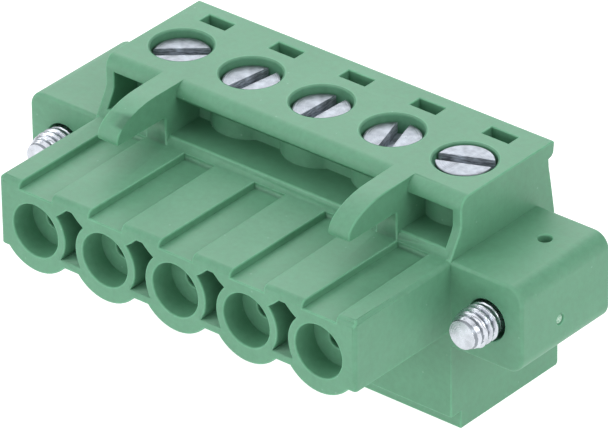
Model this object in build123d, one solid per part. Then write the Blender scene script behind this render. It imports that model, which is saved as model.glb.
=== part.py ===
from build123d import *
import math
import os

os.makedirs("parts", exist_ok=True)

# ---------------------------------------------------------------- dimensions
# Millimetres. Geometry is drawn with y = 0 on the mating face and z = 0 on
# the axis of the mating sockets, x along the row of poles; every piece is
# then moved so that the origin is the centre of the underside of the block.
POLES = 5
PITCH = 5.08

HALF_W = 12.75           # half width of the block without the flanges
FLANGE_X = 17.7          # half width over the flanges
DEPTH = 17.65            # mating face to the rear of the wire side
Z_BOTTOM = -8.4
Z_TOP = 6.2

# mating part (the block that enters the header)
Y_STEP = 8.15            # front plane of flanges and lower body
Z_LAND = 2.72            # top of the lands
Z_GROOVE = 2.28          # floor of the coding grooves
GROOVE_LEFT = 1.1        # left edge of a groove, from the pole
GROOVE_RIGHT_FRONT = 1.27
GROOVE_RIGHT_REAR = 1.07
Z_WEB = -1.68            # underside of the web between the socket tubes
TUBE_R = 2.63            # outside of the socket tubes, underside
RING_R = 2.17            # outside of the socket rings beside the coring slots
SOCKET_R = 1.625
SOCKET_DEPTH = 1.6
PIN_HOLE_R = 0.55
CORNER_R = 0.25          # upright front edges of the mating block
CORE_DEPTH = 6.6         # depth of the hourglass coring slots

# upper body
Y_UPPER = 9.1            # front plane of the upper body
Z_SHELF = 3.22           # floor of the recess under the top plate
Z_BEAM = 5.3            # underside of the top plate over the recess
Y_RECESS = 11.05         # rear of the recess under the top plate
WALL_IN = 12.12          # inner face of the side walls of the recess
TOWER_R = 2.35
Y_SCREW = 12.68          # axis of the clamping screws
WELL_R = 1.82
Z_WELL = 3.9
SHANK_HOLE_R = 1.6

# latching horns
HORN_X = 8.27
HORN_W = 1.48

# test slots behind the screw wells
SLOT_W = 1.85
SLOT_D = 0.88
Y_SLOT = 15.89
SLOT_DX = -0.12
SLOT_DEPTH = 3.4

# wire side
CHAMBER_HALF = 2.09
CHAMBER_Y0 = 10.88
CHAMBER_Y1 = 14.48
CHAMBER_Z0 = -7.5
CHAMBER_Z1 = 2.3
WIRE_Z = -4.8
WIRE_W0, WIRE_H0 = 3.9, 4.1      # mouth of the wire funnel
WIRE_W1, WIRE_H1 = 2.9, 3.4      # throat of the wire funnel

# flanges
FLANGE_Y1 = 15.9
FLANGE_Z = 2.72
FLANGE_R = 1.0
FLANGE_SCREW_X = 15.24
FLANGE_HOLE_R = 1.25
FLANGE_BORE_R = 2.15
FLANGE_BORE_Y = 13.95
PIN_MARK_R = 0.4
PIN_MARK_Y = 13.3
GATE_R = 0.3
GATE_DEPTH = 0.1

# contacts
BAR_Z0, BAR_Z1 = -3.2, -2.4
BAR_HALF = 1.25
BAR_END = 14.9

# clamping cages
CAGE_HALF = 2.0
CAGE_Y = 1.7
CAGE_Z0, CAGE_Z1 = -7.4, -0.9
CAGE_SIDE = 0.42
CAGE_TOP = 1.2
CAGE_FLOOR = 0.9
THREAD_HOLE_R = 1.5

# clamping screws
SCREW_HEAD_R = 1.66
SCREW_HEAD_H = 1.5
SCREW_SHANK_R = 1.45
SCREW_TIP_Z = -2.2
SCREW_RECESS = (0.45, 0.45, 0.45, 0.45, 0.08)
SCREW_SLOT_ANGLE = (39.7, 81.7, 87.6, 107.3, 23.0)
SCREW_SLOT_W = 0.74
SCREW_SLOT_D = 0.75

# flange screws: the thread in front, a thinner captive neck through the flange
FS_SHANK_R = 1.16
FS_Z = 0.05             # the captive screws sit a little high in their bores
FS_TIP_Y = 6.0           # flat end of the tapered tip
FS_TIP_R = 0.85
FS_TAPER_Y = 6.85        # where the taper reaches the full radius
FS_THREAD_Y1 = 8.1
FS_NECK_R = 1.0
FS_HEAD_R = 1.95
FS_HEAD_Y0, FS_HEAD_Y1 = 14.05, 15.6

POLE_X = [(i - (POLES - 1) / 2) * PITCH for i in range(POLES)]
PLACE = Location((0, -DEPTH / 2, -Z_BOTTOM))


# ---------------------------------------------------------------- helpers
def box(x0, x1, y0, y1, z0, z1):
    return Pos((x0 + x1) / 2, (y0 + y1) / 2, (z0 + z1) / 2) * Box(
        abs(x1 - x0), abs(y1 - y0), abs(z1 - z0))


def cyl_y(x, z, r, y0, y1):
    """Cylinder along y."""
    return Pos(x, (y0 + y1) / 2, z) * Rot(90, 0, 0) * Cylinder(r, y1 - y0)


def cyl_z(x, y, r, z0, z1):
    """Cylinder along z."""
    return Pos(x, y, (z0 + z1) / 2) * Cylinder(r, z1 - z0)


def prism_y(sketch, y0, y1):
    """Sketch drawn as (x, z), extruded from y0 to y1."""
    plane = Plane(origin=(0, y1, 0), x_dir=(1, 0, 0), z_dir=(0, -1, 0))
    return extrude(plane * sketch, amount=(y1 - y0), dir=(0, -1, 0))


def prism_x(points, x0, x1):
    """Closed outline of (y, z) points, extruded from x0 to x1."""
    plane = Plane(origin=(x0, 0, 0), x_dir=(0, 1, 0), z_dir=(1, 0, 0))
    face = plane * make_face(Polyline(*points, close=True))
    return extrude(face, amount=(x1 - x0), dir=(1, 0, 0))


def arc_points(cy, cz, r, a0, a1, n=8):
    out = []
    for k in range(n + 1):
        a = math.radians(a0 + (a1 - a0) * k / n)
        out.append((cy + r * math.cos(a), cz + r * math.sin(a)))
    return out


def solid(shape):
    """Single solid out of a boolean result."""
    parts = shape.solids()
    if len(parts) != 1:
        raise ValueError("expected one solid, got %d" % len(parts))
    return parts[0]


# ---------------------------------------------------------------- housing
# Body: side outline with the stepped front foot, the sloping rear and the
# lip of the top plate.
outline = [(9.0, Z_BOTTOM), (DEPTH - 0.15, Z_BOTTOM), (DEPTH, Z_BOTTOM + 0.15),
           (DEPTH, -5.8), (17.32, 1.7), (17.12, 3.0), (16.92, 4.2),
           (16.82, 4.75), (16.8, 5.18), (17.05, 5.26), (17.22, 5.45)]
outline += [(17.3, Z_TOP - 0.12), (17.18, Z_TOP)]
outline += arc_points(9.85, Z_TOP - 0.75, 0.75, 90, 180, 9)
outline += [(Y_UPPER, 4.4), (8.95, 4.02), (Y_STEP, Z_LAND), (Y_STEP, -7.3),
            (9.0, -7.3)]
body = prism_x(outline, -HALF_W, HALF_W)

# Mating block: flat top, web underside and round socket tubes.
block = Rectangle(2 * HALF_W, Z_LAND - Z_WEB)
block = Pos(0, (Z_LAND + Z_WEB) / 2) * block
block = fillet(block.vertices().group_by(Axis.Y)[-1], 0.3)
tubes = Sketch()
for x in POLE_X:
    tubes += Pos(x, 0) * Circle(TUBE_R)
tubes = tubes & (Pos(0, -1.0) * Rectangle(2 * HALF_W, 4.0))
mating = prism_y(block + tubes, 0, Y_STEP + 0.5)
# rounded front edge along the top of the lands
nose = box(-20, 20, -1, 0.42, Z_LAND - 0.42, 4) - Pos(0, 0.42, Z_LAND - 0.42) * \
    Rot(0, 90, 0) * Cylinder(0.42, 60)
mating -= nose
# rounded upright edges at the two ends of the mating face
for s in (-1, 1):
    corner = box(s * (HALF_W - CORNER_R), s * (HALF_W + 1), -1, CORNER_R, -4, 4)
    mating -= corner - cyl_z(s * (HALF_W - CORNER_R), CORNER_R, CORNER_R, -5, 5)
housing = body + mating

# Flanges with rounded outer edges.
for s in (-1, 1):
    sk = Pos(s * (FLANGE_X + HALF_W - 2) / 2, 0) * Rectangle(
        FLANGE_X - HALF_W + 2, 2 * FLANGE_Z)
    sk = fillet(sk.vertices().group_by(Axis.X)[-1 if s > 0 else 0], FLANGE_R)
    ear = prism_y(sk, Y_STEP, FLANGE_Y1)
    rim = [e for e in ear.edges()
           if abs(e.center().Y - Y_STEP) < 1e-4 or abs(e.center().Y - FLANGE_Y1) < 1e-4]
    rim = [e for e in rim if abs(e.center().X) > HALF_W - 1.9]
    ear = fillet(rim, 0.22)
    housing += ear

# Recess under the top plate, open to the front.
recess = box(-WALL_IN, WALL_IN, 7.6, Y_RECESS, Z_SHELF, Z_BEAM)
housing -= recess
for x in POLE_X:
    housing += cyl_z(x, Y_SCREW, TOWER_R, Z_SHELF - 0.2, Z_BEAM + 0.2)

# Latching horns: web plate in the recess and a curved beak forward of it.
z_h = Z_TOP
horn = [(12.4, z_h), (8.9, z_h), (7.9, z_h), (7.3, z_h), (6.8, z_h - 0.03),
        (6.4, z_h - 0.08), (6.0, z_h - 0.16), (5.6, z_h - 0.27), (5.2, z_h - 0.41),
        (4.85, z_h - 0.57), (4.55, z_h - 0.76), (4.33, z_h - 0.96), (4.17, z_h - 1.18),
        (4.09, z_h - 1.4), (4.08, z_h - 1.6), (4.12, z_h - 1.72), (4.2, z_h - 1.75),
        (7.95, z_h - 1.75), (8.12, z_h - 1.8), (Y_STEP, z_h - 1.95),
        (Y_STEP, Z_LAND - 0.1), (12.4, Z_LAND - 0.1)]
for s in (-1, 1):
    housing += prism_x(horn, s * HORN_X - HORN_W / 2, s * HORN_X + HORN_W / 2)

# Coding grooves in the top of the mating block.
for x in POLE_X:
    groove = make_face(Polyline((x - GROOVE_LEFT, -0.5), (x + GROOVE_RIGHT_FRONT, -0.5),
                                (x + GROOVE_RIGHT_REAR, Y_STEP), (x - GROOVE_LEFT, Y_STEP),
                                close=True))
    housing -= extrude(Plane.XY.offset(Z_GROOVE) * groove, amount=Z_LAND + 0.05 - Z_GROOVE,
                       dir=(0, 0, 1))

# Sockets, pin holes, contact pockets and hourglass coring slots.
for x in POLE_X:
    housing -= cyl_y(x, 0, SOCKET_R, -0.5, SOCKET_DEPTH)
    housing -= cyl_y(x, 0, PIN_HOLE_R, 0, 2.5)
    housing -= box(x - 1.2, x + 1.2, 2.05, 11.2, -1.15, 1.15)
    housing -= box(x - 1.45, x + 1.45, 8.9, 11.2, BAR_Z0, 1.15)
for k in range(POLES - 1):
    xm = (POLE_X[k] + POLE_X[k + 1]) / 2
    hour = make_face(Polyline((-1.3, -1.2), (1.3, -1.2), (1.3, 1.25), (0.62, 1.75),
                              (0.22, 2.12), (-0.22, 2.12), (-0.62, 1.75), (-1.3, 1.25),
                              close=True))
    hour = hour - Pos(-PITCH / 2, 0) * Circle(RING_R) - Pos(PITCH / 2, 0) * Circle(RING_R)
    housing -= prism_y(Pos(xm, 0) * hour, -0.5, CORE_DEPTH)

# Screw wells and shank holes.
for x in POLE_X:
    housing -= cyl_z(x, Y_SCREW, WELL_R, Z_WELL, Z_TOP + 1)
    housing -= Pos(x, Y_SCREW, Z_TOP) * Cone(WELL_R - 0.02, WELL_R + 0.14, 0.16)
    housing -= cyl_z(x, Y_SCREW, SHANK_HOLE_R, 1.0, Z_WELL + 0.1)

# Test slots.
for x in POLE_X:
    housing -= box(x + SLOT_DX - SLOT_W / 2, x + SLOT_DX + SLOT_W / 2,
                   Y_SLOT - SLOT_D / 2, Y_SLOT + SLOT_D / 2, Z_TOP - SLOT_DEPTH, Z_TOP + 1)

# Clamping chambers and wire funnels.
for x in POLE_X:
    housing -= box(x - CHAMBER_HALF, x + CHAMBER_HALF, CHAMBER_Y0, CHAMBER_Y1,
                   CHAMBER_Z0, CHAMBER_Z1)
    mouth = Plane(origin=(x, DEPTH + 0.1, WIRE_Z), x_dir=(1, 0, 0), z_dir=(0, -1, 0)) * \
        RectangleRounded(WIRE_W0, WIRE_H0, 0.7)
    throat = Plane(origin=(x, 15.5, WIRE_Z), x_dir=(1, 0, 0), z_dir=(0, -1, 0)) * \
        RectangleRounded(WIRE_W1, WIRE_H1, 0.6)
    housing -= loft([mouth, throat])
    housing -= extrude(Plane(origin=(x, 15.6, WIRE_Z), x_dir=(1, 0, 0), z_dir=(0, -1, 0)) *
                       RectangleRounded(WIRE_W1, WIRE_H1, 0.6), amount=1.4)

# Seats for the rear ends of the clamping bars.
for x in POLE_X:
    housing -= box(x - BAR_HALF, x + BAR_HALF, 14.2, BAR_END, BAR_Z0, BAR_Z1)

# Flange bores, counterbores and the small pin holes on the flange tops.
for s in (-1, 1):
    housing -= cyl_y(s * FLANGE_SCREW_X, 0, FLANGE_HOLE_R, 7.5, 14.5)
    housing -= cyl_y(s * FLANGE_SCREW_X, 0, FLANGE_BORE_R, FLANGE_BORE_Y, 17)
    housing -= cyl_z(s * 15.2, PIN_MARK_Y, PIN_MARK_R, FLANGE_Z - 0.9, FLANGE_Z + 1)
# Shallow round gate recess on the outer face of the right flange.
housing -= Pos(FLANGE_X - GATE_DEPTH + 1, 11.5, -0.65) * Rot(0, 90, 0) * Cylinder(GATE_R, 2)

housing = solid(housing)
export_step(PLACE * housing, "parts/housing.step")

# ---------------------------------------------------------------- contacts
# Two spring arms around the pin, a stepped strip and the clamping bar.
for i, x in enumerate(POLE_X):
    arm = [(0.56, 2.35), (0.98, 2.35), (0.92, 3.1), (0.82, 4.6), (0.95, 6.8), (1.0, 9.2),
           (0.6, 9.2), (0.56, 6.9), (0.42, 4.6), (0.5, 3.1)]
    plan = make_face(Polyline(*[(px, py) for px, py in arm], close=True))
    plate = extrude(Plane.XY.offset(-0.8) * plan, amount=1.6)
    fork = plate + mirror(plate, Plane.YZ)
    fork += box(-1.45, 1.45, 9.0, 9.8, BAR_Z0, 1.0)
    fork += box(-BAR_HALF, BAR_HALF, 9.7, BAR_END, BAR_Z0, BAR_Z1)
    contact = Pos(x, 0, 0) * fork
    export_step(PLACE * solid(contact), "parts/contact_%d.step" % (i + 1))

# ---------------------------------------------------------------- cages
for i, x in enumerate(POLE_X):
    cage = box(-CAGE_HALF, CAGE_HALF, Y_SCREW - CAGE_Y, Y_SCREW + CAGE_Y, CAGE_Z0, CAGE_Z1)
    cage = fillet(cage.edges().filter_by(Axis.Y), 0.5)
    window = box(-CAGE_HALF + CAGE_SIDE, CAGE_HALF - CAGE_SIDE, 5, 20,
                 CAGE_Z0 + CAGE_FLOOR, CAGE_Z1 - CAGE_TOP)
    cage -= window
    cage -= cyl_z(0, Y_SCREW, THREAD_HOLE_R, CAGE_Z1 - CAGE_TOP - 0.5, CAGE_Z1 + 1)
    cage = Pos(x, 0, 0) * cage
    export_step(PLACE * solid(cage), "parts/clamp_cage_%d.step" % (i + 1))

# ---------------------------------------------------------------- clamping screws
for i, x in enumerate(POLE_X):
    z_head = Z_TOP - SCREW_RECESS[i]
    lift = SCREW_RECESS[0] - SCREW_RECESS[i]
    head = Pos(0, 0, z_head - SCREW_HEAD_H / 2) * Cylinder(SCREW_HEAD_R, SCREW_HEAD_H)
    head = fillet(head.edges().group_by(Axis.Z)[-1], 0.09)
    tip_z = SCREW_TIP_Z + lift
    shank = cyl_z(0, 0, SCREW_SHANK_R, tip_z, z_head - SCREW_HEAD_H + 0.2)
    shank = chamfer(shank.edges().group_by(Axis.Z)[0], 0.4)
    screw = head + shank
    slot = Rot(0, 0, SCREW_SLOT_ANGLE[i]) * Pos(0, 0, z_head - SCREW_SLOT_D / 2 + 0.5) * \
        Box(6, SCREW_SLOT_W, SCREW_SLOT_D + 1.0)
    screw -= slot
    export_step(PLACE * (Pos(x, Y_SCREW, 0) * solid(screw)),
                "parts/clamp_screw_%d.step" % (i + 1))

# ---------------------------------------------------------------- flange screws
for s, name in ((-1, "left"), (1, "right")):
    tip = Plane(origin=(0, FS_TAPER_Y, 0), x_dir=(1, 0, 0), z_dir=(0, -1, 0))
    shank = loft([tip * Circle(FS_SHANK_R), tip.offset(FS_TAPER_Y - FS_TIP_Y) * Circle(FS_TIP_R)])
    shank += cyl_y(0, 0, FS_SHANK_R, FS_TAPER_Y, FS_THREAD_Y1)
    shank += cyl_y(0, 0, FS_NECK_R, FS_THREAD_Y1 - 0.1, FS_HEAD_Y0 + 0.3)
    head = cyl_y(0, 0, FS_HEAD_R, FS_HEAD_Y0, FS_HEAD_Y1)
    head = fillet(head.edges().group_by(Axis.Y)[-1], 0.15)
    screw = shank + head
    screw -= Rot(0, 28 if s > 0 else -15, 0) * box(-3, 3, FS_HEAD_Y1 - 0.8, FS_HEAD_Y1 + 1, -0.35, 0.35)
    export_step(PLACE * (Pos(s * FLANGE_SCREW_X, 0, FS_Z) * solid(screw)),
                "parts/flange_screw_%s.step" % name)
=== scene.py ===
import math

import bmesh
import bpy
import numpy as np
from mathutils import Matrix, Vector, noise
from mathutils.bvhtree import BVHTree


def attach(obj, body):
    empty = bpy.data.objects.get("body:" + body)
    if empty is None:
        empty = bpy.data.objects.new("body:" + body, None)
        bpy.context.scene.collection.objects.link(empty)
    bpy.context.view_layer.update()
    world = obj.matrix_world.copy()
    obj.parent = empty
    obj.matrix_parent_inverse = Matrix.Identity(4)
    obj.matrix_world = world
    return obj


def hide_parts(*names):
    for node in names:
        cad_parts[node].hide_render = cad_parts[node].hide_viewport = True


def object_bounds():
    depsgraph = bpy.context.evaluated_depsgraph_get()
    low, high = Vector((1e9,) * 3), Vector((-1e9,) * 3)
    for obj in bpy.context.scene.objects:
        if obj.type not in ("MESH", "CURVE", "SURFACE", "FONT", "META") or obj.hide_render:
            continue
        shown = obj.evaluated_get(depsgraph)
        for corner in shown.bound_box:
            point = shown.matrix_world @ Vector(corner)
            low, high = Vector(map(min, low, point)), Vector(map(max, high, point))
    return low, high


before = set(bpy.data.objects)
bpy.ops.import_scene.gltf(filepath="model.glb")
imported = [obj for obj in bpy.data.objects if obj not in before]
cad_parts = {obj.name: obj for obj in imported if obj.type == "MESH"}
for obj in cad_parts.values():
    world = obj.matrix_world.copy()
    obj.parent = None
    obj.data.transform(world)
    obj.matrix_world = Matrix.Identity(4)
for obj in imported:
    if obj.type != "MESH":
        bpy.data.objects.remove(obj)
box_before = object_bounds()

MM = 0.001
DEPTH = 17.65
Z_BOTTOM = -8.4
PITCH = 5.08
POLE_X = [(i - 2) * PITCH for i in range(5)]
Y_SCREW = 12.68
Z_TOP = 6.2


def place(x, y, z):
    """Drawing coordinates in millimetres to the row frame in metres."""
    return Vector((x, y - DEPTH / 2, z - Z_BOTTOM)) * MM


# ------------------------------------------------------------------ materials
def node(nt, kind, where=(0, 0), **values):
    n = nt.nodes.new(kind)
    n.location = where
    for k, v in values.items():
        setattr(n, k, v)
    return n


def new_material(name):
    m = bpy.data.materials.new(name)
    m.use_nodes = True
    nt = m.node_tree
    nt.nodes.clear()
    out = node(nt, "ShaderNodeOutputMaterial", (900, 0))
    bsdf = node(nt, "ShaderNodeBsdfPrincipled", (600, 0))
    nt.links.new(bsdf.outputs["BSDF"], out.inputs["Surface"])
    return m, nt, bsdf


def coords(nt, scale, where=(-1200, 0), source=None):
    """Object coordinates in millimetres, stretched by scale."""
    tc = source or node(nt, "ShaderNodeTexCoord", (where[0] - 200, where[1]))
    mp = node(nt, "ShaderNodeMapping", where)
    mp.inputs["Scale"].default_value = [1000 * s for s in scale]
    nt.links.new(tc.outputs["Object"], mp.inputs["Vector"])
    return mp


def ramp(nt, source, stops, where=(0, 0)):
    r = node(nt, "ShaderNodeValToRGB", where)
    el = r.color_ramp.elements
    while len(el) > 1:
        el.remove(el[-1])
    el[0].position, el[0].color = stops[0][0], (*stops[0][1], 1)
    for p, c in stops[1:]:
        e = el.new(p)
        e.color = (*c, 1)
    nt.links.new(source, r.inputs["Fac"])
    return r


def value_range(nt, source, a, b, c, d, where=(0, 0)):
    m = node(nt, "ShaderNodeMapRange", where)
    m.inputs["From Min"].default_value = a
    m.inputs["From Max"].default_value = b
    m.inputs["To Min"].default_value = c
    m.inputs["To Max"].default_value = d
    nt.links.new(source, m.inputs["Value"])
    return m


def mix_colour(nt, blend, fac, a, b, where=(0, 0)):
    m = node(nt, "ShaderNodeMix", where, data_type="RGBA", blend_type=blend)
    for key, v in (("Factor", fac), ("A", a), ("B", b)):
        sock = [s for s in m.inputs if s.name == key and s.enabled][0]
        if isinstance(v, bpy.types.NodeSocket):
            nt.links.new(v, sock)
        elif key == "Factor":
            sock.default_value = v
        else:
            sock.default_value = (*v, 1)
    return [s for s in m.outputs if s.enabled][0]


def plastic(name, lift=1.0, rough_lo=0.44, rough_hi=0.58):
    """Moulded polyamide: slight mottling of the colour, spark-eroded grain, draw lines down
    the walls, a satin sheen and tiny pale specks. Lift raises the base colour; the edge copy uses it as a painted
    highlight, a paler green on the rounded edges."""
    m, nt, bsdf = new_material(name)
    cloud = node(nt, "ShaderNodeTexNoise", (-900, 300))
    cloud.inputs["Scale"].default_value = 0.22
    cloud.inputs["Detail"].default_value = 5.0
    cloud.inputs["Roughness"].default_value = 0.6
    nt.links.new(coords(nt, (1, 1, 1), (-1150, 300)).outputs[0], cloud.inputs["Vector"])
    base = ramp(nt, cloud.outputs["Fac"], [
        (0.25, (0.094 * lift, 0.268 * lift, 0.158 * lift)),
        (0.5, (0.104 * lift, 0.290 * lift, 0.172 * lift)),
        (0.75, (0.118 * lift, 0.312 * lift, 0.190 * lift)),
    ], (-650, 300))
    mott = node(nt, "ShaderNodeTexNoise", (-900, 50))
    mott.inputs["Scale"].default_value = 2.6
    mott.inputs["Detail"].default_value = 6.0
    mott.inputs["Roughness"].default_value = 0.65
    nt.links.new(coords(nt, (1, 1, 1), (-1150, 50)).outputs[0], mott.inputs["Vector"])
    mott_c = ramp(nt, mott.outputs["Fac"], [(0.35, (0.90, 0.92, 0.91)), (0.65, (1.05, 1.04, 1.05))], (-650, 50))
    col = mix_colour(nt, "MULTIPLY", 1.0, base.outputs["Color"], mott_c.outputs["Color"], (-380, 200))
    speck = node(nt, "ShaderNodeTexVoronoi", (-900, -200))
    speck.inputs["Scale"].default_value = 0.85
    nt.links.new(coords(nt, (1, 1, 1), (-1150, -200)).outputs[0], speck.inputs["Vector"])
    speck_m = value_range(nt, speck.outputs["Distance"], 0.035, 0.06, 0.35, 0.0, (-650, -200))
    col = mix_colour(nt, "MIX", speck_m.outputs["Result"], col, (0.30, 0.48, 0.37), (-150, 150))
    nt.links.new(col, bsdf.inputs["Base Color"])

    grain = node(nt, "ShaderNodeTexNoise", (-900, -450))
    grain.inputs["Scale"].default_value = 7.0
    grain.inputs["Detail"].default_value = 4.0
    nt.links.new(coords(nt, (1, 1, 1), (-1150, -450)).outputs[0], grain.inputs["Vector"])
    draw = node(nt, "ShaderNodeTexNoise", (-900, -700))
    draw.inputs["Scale"].default_value = 3.2
    draw.inputs["Detail"].default_value = 3.0
    nt.links.new(coords(nt, (1, 1, 0.06), (-1150, -700)).outputs[0], draw.inputs["Vector"])
    wavy = node(nt, "ShaderNodeTexNoise", (-900, -950))
    wavy.inputs["Scale"].default_value = 0.35
    wavy.inputs["Detail"].default_value = 2.0
    nt.links.new(coords(nt, (1, 1, 1), (-1150, -950)).outputs[0], wavy.inputs["Vector"])
    b1 = node(nt, "ShaderNodeBump", (-200, -300))
    b1.inputs["Strength"].default_value = 0.30
    b1.inputs["Distance"].default_value = 0.012 * MM
    nt.links.new(grain.outputs["Fac"], b1.inputs["Height"])
    b2 = node(nt, "ShaderNodeBump", (0, -300))
    b2.inputs["Strength"].default_value = 0.35
    b2.inputs["Distance"].default_value = 0.012 * MM
    nt.links.new(draw.outputs["Fac"], b2.inputs["Height"])
    nt.links.new(b1.outputs["Normal"], b2.inputs["Normal"])
    b3 = node(nt, "ShaderNodeBump", (200, -300))
    b3.inputs["Strength"].default_value = 0.35
    b3.inputs["Distance"].default_value = 0.04 * MM
    nt.links.new(wavy.outputs["Fac"], b3.inputs["Height"])
    nt.links.new(b2.outputs["Normal"], b3.inputs["Normal"])
    nt.links.new(b3.outputs["Normal"], bsdf.inputs["Normal"])
    rough = value_range(nt, mott.outputs["Fac"], 0.3, 0.7, rough_lo, rough_hi, (200, 150))
    nt.links.new(rough.outputs["Result"], bsdf.inputs["Roughness"])
    bsdf.inputs["IOR"].default_value = 1.53
    bsdf.inputs["Subsurface Weight"].default_value = 0.12
    bsdf.inputs["Subsurface Radius"].default_value = (0.25, 1.0, 0.5)
    bsdf.inputs["Subsurface Scale"].default_value = 0.7 * MM
    return m


def zinc(name, tint, rough_lo, rough_hi, rings=0.0, axis="Z", pits=0.5, dull=0.86, streak=0.0,
         grain=(1, 1, 1), metal=1.0):
    """Zinc plate: a cloudy bluish film, fine pits, streaks and turning marks about the axis."""
    m, nt, bsdf = new_material(name)
    bsdf.inputs["Metallic"].default_value = metal
    cloud = node(nt, "ShaderNodeTexNoise", (-900, 300))
    cloud.inputs["Scale"].default_value = 1.6
    cloud.inputs["Detail"].default_value = 5.0
    nt.links.new(coords(nt, (1, 1, 1), (-1150, 300)).outputs[0], cloud.inputs["Vector"])
    lo = [c * dull for c in tint]
    col = ramp(nt, cloud.outputs["Fac"], [(0.34, lo), (0.66, tint)], (-650, 300)).outputs["Color"]
    if streak:
        drawn = node(nt, "ShaderNodeTexNoise", (-900, 550))
        drawn.inputs["Scale"].default_value = 2.2
        drawn.inputs["Detail"].default_value = 4.0
        nt.links.new(coords(nt, grain, (-1150, 550)).outputs[0], drawn.inputs["Vector"])
        drawn_c = ramp(nt, drawn.outputs["Fac"], [(0.38, (1 - streak,) * 3), (0.62, (1 + 0.5 * streak,) * 3)],
                       (-650, 550))
        col = mix_colour(nt, "MULTIPLY", 1.0, col, drawn_c.outputs["Color"], (-500, 400))
    pit = node(nt, "ShaderNodeTexVoronoi", (-900, 50))
    pit.inputs["Scale"].default_value = 3.2
    nt.links.new(coords(nt, (1, 1, 1), (-1150, 50)).outputs[0], pit.inputs["Vector"])
    pit_m = value_range(nt, pit.outputs["Distance"], 0.05, 0.12, pits, 0.0, (-650, 50))
    col = mix_colour(nt, "MIX", pit_m.outputs["Result"], col, [c * 0.35 for c in tint], (-350, 200))
    nt.links.new(col, bsdf.inputs["Base Color"])
    fine = node(nt, "ShaderNodeTexNoise", (-900, -200))
    fine.inputs["Scale"].default_value = 9.0
    fine.inputs["Detail"].default_value = 3.0
    nt.links.new(coords(nt, (1, 1, 1), (-1150, -200)).outputs[0], fine.inputs["Vector"])
    rough = value_range(nt, fine.outputs["Fac"], 0.3, 0.7, rough_lo, rough_hi, (-350, -50))
    nt.links.new(rough.outputs["Result"], bsdf.inputs["Roughness"])
    b1 = node(nt, "ShaderNodeBump", (-100, -300))
    b1.inputs["Strength"].default_value = 0.35
    b1.inputs["Distance"].default_value = 0.008 * MM
    nt.links.new(fine.outputs["Fac"], b1.inputs["Height"])
    last = b1
    if rings:
        wave = node(nt, "ShaderNodeTexWave", (-900, -450), wave_type="RINGS", rings_direction=axis)
        wave.inputs["Scale"].default_value = 2.4
        wave.inputs["Distortion"].default_value = 1.2
        wave.inputs["Detail"].default_value = 3.0
        wave.inputs["Detail Scale"].default_value = 1.5
        nt.links.new(coords(nt, (1, 1, 1), (-1150, -450)).outputs[0], wave.inputs["Vector"])
        b2 = node(nt, "ShaderNodeBump", (100, -300))
        b2.inputs["Strength"].default_value = rings
        b2.inputs["Distance"].default_value = 0.006 * MM
        nt.links.new(wave.outputs["Fac"], b2.inputs["Height"])
        nt.links.new(b1.outputs["Normal"], b2.inputs["Normal"])
        last = b2
    nt.links.new(last.outputs["Normal"], bsdf.inputs["Normal"])
    return m


GREEN = plastic("green_polyamide")
# Paler copy of the green laid on the rounded edge faces: a painted highlight along the edges.
GREEN_EDGE_HIGHLIGHT = plastic("green_polyamide_painted_edge_highlight", 1.2, 0.46, 0.6)
ZINC_HEAD = zinc("zinc_head", (0.325, 0.352, 0.396), 0.28, 0.48, rings=0.7, pits=0.8, dull=0.76, streak=0.18)
ZINC_SLOT = zinc("zinc_slot", (0.44, 0.49, 0.56), 0.36, 0.58, pits=0.6, dull=0.6, streak=0.5, metal=0.55,
                 grain=(1, 1, 5))
ZINC_THREAD = zinc("zinc_thread", (0.68, 0.71, 0.77), 0.22, 0.38, rings=0.25, axis="Y", pits=0.3, dull=0.75)
# Darker grey for the thread roots: painted shade in the thread grooves.
ZINC_ROOT_SHADE = zinc("zinc_thread_root_painted_shade", (0.34, 0.37, 0.41), 0.35, 0.55, pits=0.3, dull=0.6)
TIN = zinc("tin_plate", (0.74, 0.73, 0.70), 0.28, 0.45, pits=0.25)
NICKEL = zinc("nickel_plate", (0.70, 0.69, 0.66), 0.22, 0.40, pits=0.35)


def flake_material():
    """Whitened, torn plastic where the runner was broken off."""
    m, nt, bsdf = new_material("torn_polyamide")
    n = node(nt, "ShaderNodeTexNoise", (-700, 100))
    n.inputs["Scale"].default_value = 9.0
    n.inputs["Detail"].default_value = 6.0
    nt.links.new(coords(nt, (1, 1, 1), (-950, 100)).outputs[0], n.inputs["Vector"])
    c = ramp(nt, n.outputs["Fac"], [(0.38, (0.22, 0.44, 0.30)), (0.64, (0.52, 0.68, 0.57))], (-400, 100))
    nt.links.new(c.outputs["Color"], bsdf.inputs["Base Color"])
    b = node(nt, "ShaderNodeBump", (0, -200))
    b.inputs["Strength"].default_value = 0.6
    b.inputs["Distance"].default_value = 0.02 * MM
    nt.links.new(n.outputs["Fac"], b.inputs["Height"])
    nt.links.new(b.outputs["Normal"], bsdf.inputs["Normal"])
    bsdf.inputs["Roughness"].default_value = 0.7
    return m


TORN = flake_material()


# ------------------------------------------------------------------ helpers
def mesh_object(name, bm, mats, smooth=35.0):
    me = bpy.data.meshes.new(name)
    bm.normal_update()
    bm.to_mesh(me)
    bm.free()
    for m in mats:
        me.materials.append(m)
    ob = bpy.data.objects.new(name, me)
    bpy.context.scene.collection.objects.link(ob)
    if smooth is not None:
        me.shade_smooth()
        me.set_sharp_from_angle(angle=math.radians(smooth))
    return ob


def far_from_edges(points, ends_a, ends_b, reach):
    """Which points lie farther than reach from every edge."""
    far = np.zeros(len(points), bool)
    d = ends_b - ends_a
    dd = np.maximum((d * d).sum(1), 1e-18)
    for k in range(0, len(points), 400):
        p = points[k:k + 400]
        w = p[:, None, :] - ends_a[None]
        t = np.clip((w * d[None]).sum(2) / dd[None], 0, 1)
        gap = np.sqrt(((w - t[..., None] * d[None]) ** 2).sum(2)).min(1)
        far[k:k + 400] = gap > reach
    return far


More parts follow.
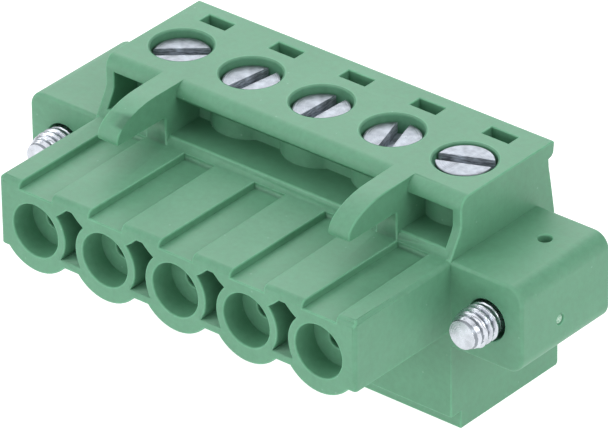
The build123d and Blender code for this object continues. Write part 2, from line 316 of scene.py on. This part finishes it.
def softened(source, width, segments=3, angle=28.0, weld=2e-6, rounds=10):
    """Copy of a CAD node's mesh with flat faces merged and its outer edges rounded. An edge whose
    rounding leaves the surface or runs along it is left sharp."""
    base = bmesh.new()
    base.from_mesh(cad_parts[source].data)
    bmesh.ops.remove_doubles(base, verts=base.verts, dist=weld)
    bmesh.ops.dissolve_degenerate(base, dist=1e-7, edges=base.edges)
    bmesh.ops.dissolve_limit(base, angle_limit=math.radians(0.6), verts=base.verts, edges=base.edges,
                             use_dissolve_boundaries=False, delimit=set())
    base.normal_update()
    base.edges.ensure_lookup_table()
    tree = BVHTree.FromBMesh(base)
    chosen = [e.index for e in base.edges
              if len(e.link_faces) == 2 and e.is_convex and e.calc_face_angle(0) > math.radians(angle)]
    old = {tuple(round(c * 1e7) for c in v.co) for v in base.verts}
    ends_a = np.array([base.edges[i].verts[0].co for i in chosen])
    ends_b = np.array([base.edges[i].verts[1].co for i in chosen])
    keep = np.ones(len(chosen), bool)
    for attempt in range(rounds):
        bm = base.copy()
        bm.edges.ensure_lookup_table()
        # The new rounding faces take material slot 1, which holds the painted edge highlight.
        bmesh.ops.bevel(bm, geom=[bm.edges[i] for i, k in zip(chosen, keep) if k], offset=width,
                        offset_type="OFFSET", segments=segments, profile=0.5, affect="EDGES",
                        clamp_overlap=False, loop_slide=True, miter_outer="SHARP", miter_inner="SHARP",
                        material=1)
        fresh = [v.co.copy() for v in bm.verts if tuple(round(c * 1e7) for c in v.co) not in old]
        off = [p for p in fresh if tree.find_nearest(p)[3] > 0.62 * width]
        pts = np.array(fresh)
        astray = far_from_edges(pts, ends_a[keep], ends_b[keep], 1.75 * width)
        bad = np.array([list(p) for p in off] + [list(p) for p in pts[astray]]).reshape(-1, 3)
        print("softened", source, "round", attempt, "rounded", int(keep.sum()), "bad", len(off), int(astray.sum()))
        if not len(bad) or attempt == rounds - 1:
            break
        bm.free()
        mids = (ends_a + ends_b) / 2
        d = ends_b - ends_a
        dd = np.maximum((d * d).sum(1), 1e-18)
        for p in bad:
            t = np.clip(((p - ends_a) * d).sum(1) / dd, 0, 1)
            gap = np.sqrt(((p - ends_a - t[:, None] * d) ** 2).sum(1))
            near = gap < max(2.2 * width, gap[keep].min() + 0.3 * width)
            keep &= ~near
    return bm


# ------------------------------------------------------------------ housing
housing_bm = softened("housing", 0.09 * MM, 3)
low, high = box_before
for v in housing_bm.verts:
    for k in range(3):
        v.co[k] = min(max(v.co[k], low[k]), high[k])
# Slot 1 is the paler painted edge highlight on the rounded edges.
housing = mesh_object("housing_moulding", housing_bm, [GREEN, GREEN_EDGE_HIGHLIGHT], 40.0)
flat = housing.modifiers.new("flat_faces", "WEIGHTED_NORMAL")
flat.mode = "FACE_AREA"
flat.weight = 60
flat.keep_sharp = True
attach(housing, "housing")
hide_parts("housing")

# Torn stub of the runner in the shallow gate recess of the right flange: a rough irregular lump
# that stays below the outer face.
gate = bmesh.new()
G = 14
grid = []
for a in range(G + 1):
    row = []
    for b in range(G + 1):
        u, v = a / G * 2 - 1, b / G * 2 - 1
        # square grid drawn in to an uneven round outline
        turn = math.atan2(v, u)
        reach = 0.25 * (1 + 0.16 * noise.noise(Vector((math.cos(turn) * 1.3 + 3.1, math.sin(turn) * 1.3, 0.4))))
        long = max(abs(u), abs(v)) / max(1e-6, math.hypot(u, v))
        rr = math.hypot(u, v) * long
        h = 0.085 * max(0.0, 1 - rr ** 3) * (0.62 + 0.75 * noise.noise(Vector((u * 2.6, v * 2.6, 7.7))))
        h += 0.012 * noise.noise(Vector((u * 7.0, v * 7.0, 1.9))) * (1 - rr)
        row.append(gate.verts.new((max(0.0, min(h, 0.088)), u * long * reach, v * long * reach)))
    grid.append(row)
for a in range(G):
    for b in range(G):
        gate.faces.new((grid[a][b], grid[a + 1][b], grid[a + 1][b + 1], grid[a][b + 1]))
rim = ([grid[k][0] for k in range(G)] + [grid[G][k] for k in range(G)]
       + [grid[k][G] for k in range(G, 0, -1)] + [grid[0][k] for k in range(G, 0, -1)])
foot = [gate.verts.new((-0.02, v.co.y, v.co.z)) for v in rim]
for k in range(len(rim)):
    n = (k + 1) % len(rim)
    gate.faces.new((rim[n], rim[k], foot[k], foot[n]))
gate.faces.new(list(reversed(foot)))
bmesh.ops.recalc_face_normals(gate, faces=gate.faces)
bmesh.ops.scale(gate, vec=(MM, MM, MM), verts=gate.verts)
vestige = mesh_object("gate_vestige", gate, [TORN], 50.0)
vestige.location = place(17.6, 11.5, -0.65)
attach(vestige, "housing")

# ------------------------------------------------------------------ screws
THREAD_SEG = 72


def thread_profile(f):
    """Height of a 60 degree thread with a narrow crest and a wider rounded root, 0 to 1."""
    f = f % 1.0
    d = abs(f - 0.5) * 2          # 0 at the crest, 1 at the root
    if d < 0.14:
        return 1.0
    if d > 0.80:
        return 0.0
    t = 1 - (d - 0.14) / 0.66
    return t


def threaded_rod(bm, crest, root, pitch, z0, z1, chamfer, tip_r, plain_from=None, step=None, mat=0,
                 start_r=None, root_shade_mat=3):
    """Closed threaded rod along +z from the tip z0 up to z1. The tip is a chamfered flat."""
    step = step or pitch / 14
    rows = max(4, int(round((z1 - z0) / step)))
    rings, heights = [], []
    for k in range(rows + 1):
        z = z0 + (z1 - z0) * k / rows
        ring, tall = [], []
        for s in range(THREAD_SEG):
            a = 2 * math.pi * s / THREAD_SEG
            h = thread_profile(z / pitch - s / THREAD_SEG)
            if plain_from is not None and z > plain_from - pitch * 0.7:
                h = max(h, 0.5)
            if plain_from is not None:
                fade = min(1.0, max(0.0, (plain_from - z) / (pitch * 0.7)))
                r_plain = start_r if start_r else root
                r = r_plain + (root + (crest - root) * h - r_plain) * fade
            else:
                r = root + (crest - root) * h
            cone = tip_r + (z - z0) * chamfer
            r = min(r, cone)
            ring.append(bm.verts.new((r * math.cos(a), r * math.sin(a), z)))
            tall.append(h if r < cone - 1e-6 or h < 0.5 else 1.0)
        rings.append(ring)
        heights.append(tall)
    for k in range(rows):
        for s in range(THREAD_SEG):
            t = (s + 1) % THREAD_SEG
            f = bm.faces.new((rings[k][s], rings[k][t], rings[k + 1][t], rings[k + 1][s]))
            # Faces down in the thread roots take the darker root material, painted shade in the grooves.
            f.material_index = root_shade_mat if (heights[k][s] + heights[k + 1][t]) / 2 < 0.34 else mat
    for ring, flip, zc in ((rings[0], True, z0), (rings[-1], False, z1)):
        c = bm.verts.new((0, 0, zc))
        for s in range(THREAD_SEG):
            t = (s + 1) % THREAD_SEG
            f = bm.faces.new((ring[t], ring[s], c) if flip else (ring[s], ring[t], c))
            f.material_index = mat


def lathe(bm, rows, seg=96, mat=0):
    """Closed turned body from (radius, z) rows, first and last on the axis."""
    rings = []
    for r, z in rows:
        if r < 1e-9:
            rings.append([bm.verts.new((0, 0, z))])
        else:
            rings.append([bm.verts.new((r * math.cos(2 * math.pi * s / seg), r * math.sin(2 * math.pi * s / seg), z))
                          for s in range(seg)])
    for a, b in zip(rings, rings[1:]):
        for s in range(seg):
            t = (s + 1) % seg
            if len(a) == 1:
                f = bm.faces.new((a[0], b[t], b[s]))
            elif len(b) == 1:
                f = bm.faces.new((a[s], a[t], b[0]))
            else:
                f = bm.faces.new((a[s], a[t], b[t], b[s]))
            f.material_index = mat
    bmesh.ops.recalc_face_normals(bm, faces=bm.faces)


def slotted_head(radius, top, under, rim, slot_w, slot_d, angle):
    """Mesh of a cheese head with its slot; returns a bmesh in millimetres."""
    bm = bmesh.new()
    rows = [(0, under), (radius * 0.5, under), (radius - 0.06, under), (radius, under + 0.06)]
    rows += [(radius, under + 0.5 * (top - under))]
    for k in range(6):
        a = math.pi / 2 * k / 5
        rows.append((radius - rim + rim * math.cos(a), top - rim + rim * math.sin(a)))
    rows += [(radius * 0.6, top + 0.004), (radius * 0.25, top + 0.0), (0, top - 0.002)]
    lathe(bm, rows)
    me = bpy.data.meshes.new("head_tmp")
    bm.to_mesh(me)
    bm.free()
    ob = bpy.data.objects.new("head_tmp", me)
    bpy.context.scene.collection.objects.link(ob)
    cut = bmesh.new()
    bmesh.ops.create_cube(cut, size=1.0)
    bmesh.ops.scale(cut, vec=(radius * 3, slot_w, 2 * slot_d), verts=cut.verts)
    # the milled slot is a little wider at its mouth
    for v in cut.verts:
        if v.co.z > 0:
            v.co.y *= 1.06
    bmesh.ops.rotate(cut, cent=(0, 0, 0), matrix=Matrix.Rotation(math.radians(angle), 3, "Z"), verts=cut.verts)
    bmesh.ops.translate(cut, vec=(0, 0, top), verts=cut.verts)
    cme = bpy.data.meshes.new("cut_tmp")
    cut.to_mesh(cme)
    cut.free()
    cob = bpy.data.objects.new("cut_tmp", cme)
    bpy.context.scene.collection.objects.link(cob)
    mod = ob.modifiers.new("slot", "BOOLEAN")
    mod.operation, mod.object, mod.solver = "DIFFERENCE", cob, "EXACT"
    dg = bpy.context.evaluated_depsgraph_get()
    done = bpy.data.meshes.new_from_object(ob.evaluated_get(dg))
    out = bmesh.new()
    out.from_mesh(done)
    for o in (ob, cob):
        bpy.data.objects.remove(o)
    for m in (me, cme, done):
        bpy.data.meshes.remove(m)
    bmesh.ops.remove_doubles(out, verts=out.verts, dist=1e-4)
    out.normal_update()
    edges = [e for e in out.edges if len(e.link_faces) == 2 and e.calc_face_angle(0) > math.radians(40)]
    bmesh.ops.bevel(out, geom=edges, offset=0.035, offset_type="OFFSET", segments=2, profile=0.5,
                    affect="EDGES", clamp_overlap=True)
    out.normal_update()
    c, s = math.cos(math.radians(angle)), math.sin(math.radians(angle))
    for f in out.faces:
        p = f.calc_center_median()
        across = abs(-s * p.x + c * p.y)
        if across < slot_w * 0.53 and top - slot_d - 0.05 < p.z < top - 0.03:
            f.material_index = 1
    return out


SCREW_TOP = (0.45, 0.45, 0.45, 0.45, 0.08)
SLOT_ANGLE = (39.7, 81.7, 87.6, 107.3, 23.0)
for i, x in enumerate(POLE_X):
    top = 0.0
    bm = slotted_head(1.66, top, -1.5, 0.09, 0.74, 0.75, SLOT_ANGLE[i])
    lift = SCREW_TOP[0] - SCREW_TOP[i]
    tip = -2.2 + lift - (Z_TOP - SCREW_TOP[i])
    threaded_rod(bm, 1.45, 1.17, 0.5, tip, -1.45, 1.0, 1.05, plain_from=-1.75, start_r=1.3, mat=2)
    bmesh.ops.scale(bm, vec=(MM, MM, MM), verts=bm.verts)
    name = "clamp_screw_%d" % (i + 1)
    ob = mesh_object(name + "_slotted", bm, [ZINC_HEAD, ZINC_SLOT, ZINC_THREAD, ZINC_ROOT_SHADE], 40.0)
    ob.location = place(x, Y_SCREW, Z_TOP - SCREW_TOP[i])
    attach(ob, name)
    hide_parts(name)

for s, side in ((-1, "left"), (1, "right")):
    bm = slotted_head(1.95, 0.0, -1.55, 0.15, 0.7, 0.8, 28 if s > 0 else -15)
    threaded_rod(bm, 1.16, 0.90, 0.45, -(15.6 - 6.0), -1.5, 0.31 / 0.85, 0.85, plain_from=-7.4, start_r=1.0, mat=2)
    bmesh.ops.scale(bm, vec=(MM, MM, MM), verts=bm.verts)
    # the screw's own +z is turned to the rear of the block
    bmesh.ops.rotate(bm, cent=(0, 0, 0), matrix=Matrix.Rotation(math.radians(-90), 3, "X"), verts=bm.verts)
    name = "flange_screw_" + side
    ob = mesh_object(name + "_threaded", bm, [ZINC_HEAD, ZINC_SLOT, ZINC_THREAD, ZINC_ROOT_SHADE], 40.0)
    ob.location = place(s * 15.24, 15.6, 0.05)
    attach(ob, name)
    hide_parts(name)

# ------------------------------------------------------------------ contacts and cages
for i in range(5):
    for kind, mat, slot_name, width in (("contact", TIN, "contact_tin", 0.04), ("clamp_cage", NICKEL, "cage_metal", 0.08)):
        name = "%s_%d" % (kind, i + 1)
        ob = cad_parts[name]
        for k in range(len(ob.material_slots)):
            ob.material_slots[k].material = mat
        if not ob.material_slots:
            ob.data.materials.append(mat)

# ------------------------------------------------------------------ stage
floor_me = bpy.data.meshes.new("floor")
floor_me.from_pydata([(-3, -3, 0), (3, -3, 0), (3, 3, 0), (-3, 3, 0)], [], [(0, 1, 2, 3)])
floor = bpy.data.objects.new("floor", floor_me)
floor.location.z = -0.00002
bpy.context.scene.collection.objects.link(floor)
fm, fnt, fb = new_material("floor_paper")
fb.inputs["Base Color"].default_value = (0.26, 0.26, 0.262, 1)
fb.inputs["Roughness"].default_value = 0.9
fb.inputs["Specular IOR Level"].default_value = 0.1
fb.inputs["Emission Color"].default_value = (1, 1, 1, 1)
fb.inputs["Emission Strength"].default_value = 1.02
floor_me.materials.append(fm)

world = bpy.data.worlds.new("studio")
bpy.context.scene.world = world
world.use_nodes = True
bg = world.node_tree.nodes["Background"]
bg.inputs["Color"].default_value = (0.96, 0.98, 1.0, 1)
bg.inputs["Strength"].default_value = 0.456


def softbox(name, direction, distance, size, radiance, colour=(1, 1, 1)):
    d = Vector(direction).normalized()
    light = bpy.data.lights.new(name, "AREA")
    light.shape = "RECTANGLE"
    light.size, light.size_y = size
    light.energy = radiance * math.pi * size[0] * size[1]
    light.color = colour
    ob = bpy.data.objects.new(name, light)
    ob.location = Vector((0, 0, 0.007)) + d * distance
    ob.rotation_mode = "QUATERNION"
    ob.rotation_quaternion = d.to_track_quat("Z", "Y")
    ob.visible_camera = False
    bpy.context.scene.collection.objects.link(ob)
    return ob


softbox("back_card", (-0.60, 0.72, 0.62), 1.1, (1.2, 0.8), 2.35)
softbox("key_card", (-0.55, -0.60, 1.05), 0.9, (0.6, 0.6), 1.7)
softbox("top_card", (0.05, 0.05, 1.0), 0.9, (0.8, 0.8), 1.0)
softbox("right_card", (1.0, 0.10, 0.55), 0.9, (0.6, 0.4), 3.6)
softbox("left_front_card", (-0.70, -0.90, 0.25), 0.9, (0.6, 0.3), 2.8)
softbox("front_card", (0.10, -1.0, 0.22), 1.0, (0.7, 0.4), 1.9)

# ------------------------------------------------------------------ camera
AZ, EL, ROLL = math.radians(40.224), math.radians(30.782), math.radians(0.956)
FOCAL_PX = 7640.74
right0 = Vector((math.cos(AZ), math.sin(AZ), 0))
back = Vector((math.sin(AZ) * math.cos(EL), -math.cos(AZ) * math.cos(EL), math.sin(EL)))
down0 = (-back).cross(right0)
right = math.cos(ROLL) * right0 + math.sin(ROLL) * down0
down = -math.sin(ROLL) * right0 + math.cos(ROLL) * down0
cam = bpy.data.cameras.new("camera")
cam.sensor_fit = "HORIZONTAL"
cam.sensor_width = 36.0
cam.lens = FOCAL_PX / 608 * 36.0
cam.clip_start, cam.clip_end = 0.01, 20.0
cam_ob = bpy.data.objects.new("camera", cam)
rot = Matrix((right, -down, back)).transposed()
cam_ob.matrix_world = Matrix.Translation(place(235.400, -267.308, 216.785)) @ rot.to_4x4()
bpy.context.scene.collection.objects.link(cam_ob)
bpy.context.scene.camera = cam_ob

view = bpy.context.scene.view_settings
view.view_transform = "Standard"
view.look = "None"
view.exposure = 0.0
view.gamma = 1.0
